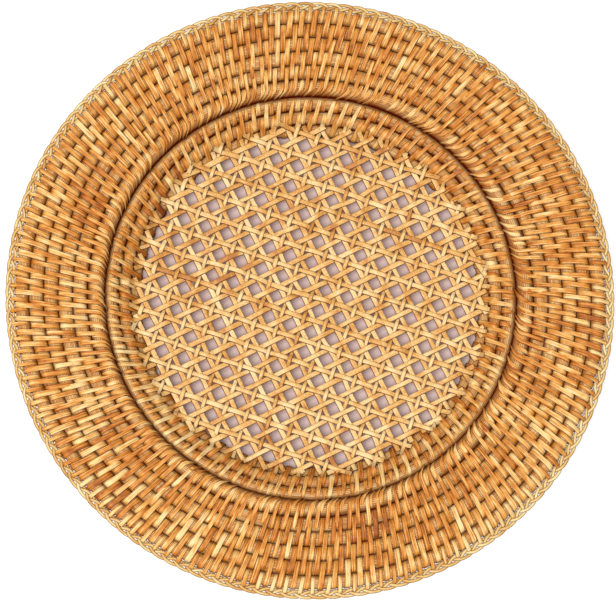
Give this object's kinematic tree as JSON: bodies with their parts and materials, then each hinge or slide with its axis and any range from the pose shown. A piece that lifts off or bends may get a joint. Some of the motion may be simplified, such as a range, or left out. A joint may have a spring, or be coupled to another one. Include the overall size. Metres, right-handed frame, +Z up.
{
  "type": "charger plate",
  "caption": "Round woven rattan charger plate: coiled rim bound with split strips, open cane centre, braided edge.",
  "frame": {"origin": "middle of the plane that the plate rests on, on the axis of its rounds", "axes": "+Z up out of the well; +X to the right and +Y to the top of the pictured view"},
  "size_m": [0.3298, 0.33, 0.0215],
  "materials": {
    "reed_core": "satin",
    "peel_strip": "satin",
    "peel_tie": "satin",
    "cane": "satin",
    "braid_reed": "satin"
  },
  "bodies": {
    "root": {"rim_coil_1": "reed_core", "rim_coil_2": "reed_core", "rim_coil_3": "reed_core", "rim_coil_4": "reed_core", "rim_coil_5": "reed_core", "lip_coil": "reed_core", "wall_coil_1": "reed_core", "wall_coil_2": "reed_core", "foot_hoop": "reed_core", "edge_ties": "peel_tie", "rim_strips_1": "peel_strip", "rim_strips_2": "peel_strip", "rim_strips_3": "peel_strip", "rim_strips_4": "peel_strip", "rim_strips_5": "peel_strip", "lip_strips": "peel_strip", "wall_strips_1": "peel_strip", "wall_strips_2": "peel_strip", "wall_strips_3": "peel_strip", "cane_across": "cane", "cane_up": "cane", "cane_slant_right": "cane", "cane_slant_left": "cane", "braid_strand_1": "braid_reed", "braid_strand_2": "braid_reed", "braid_strand_3": "braid_reed"}
  },
  "joints": []
}
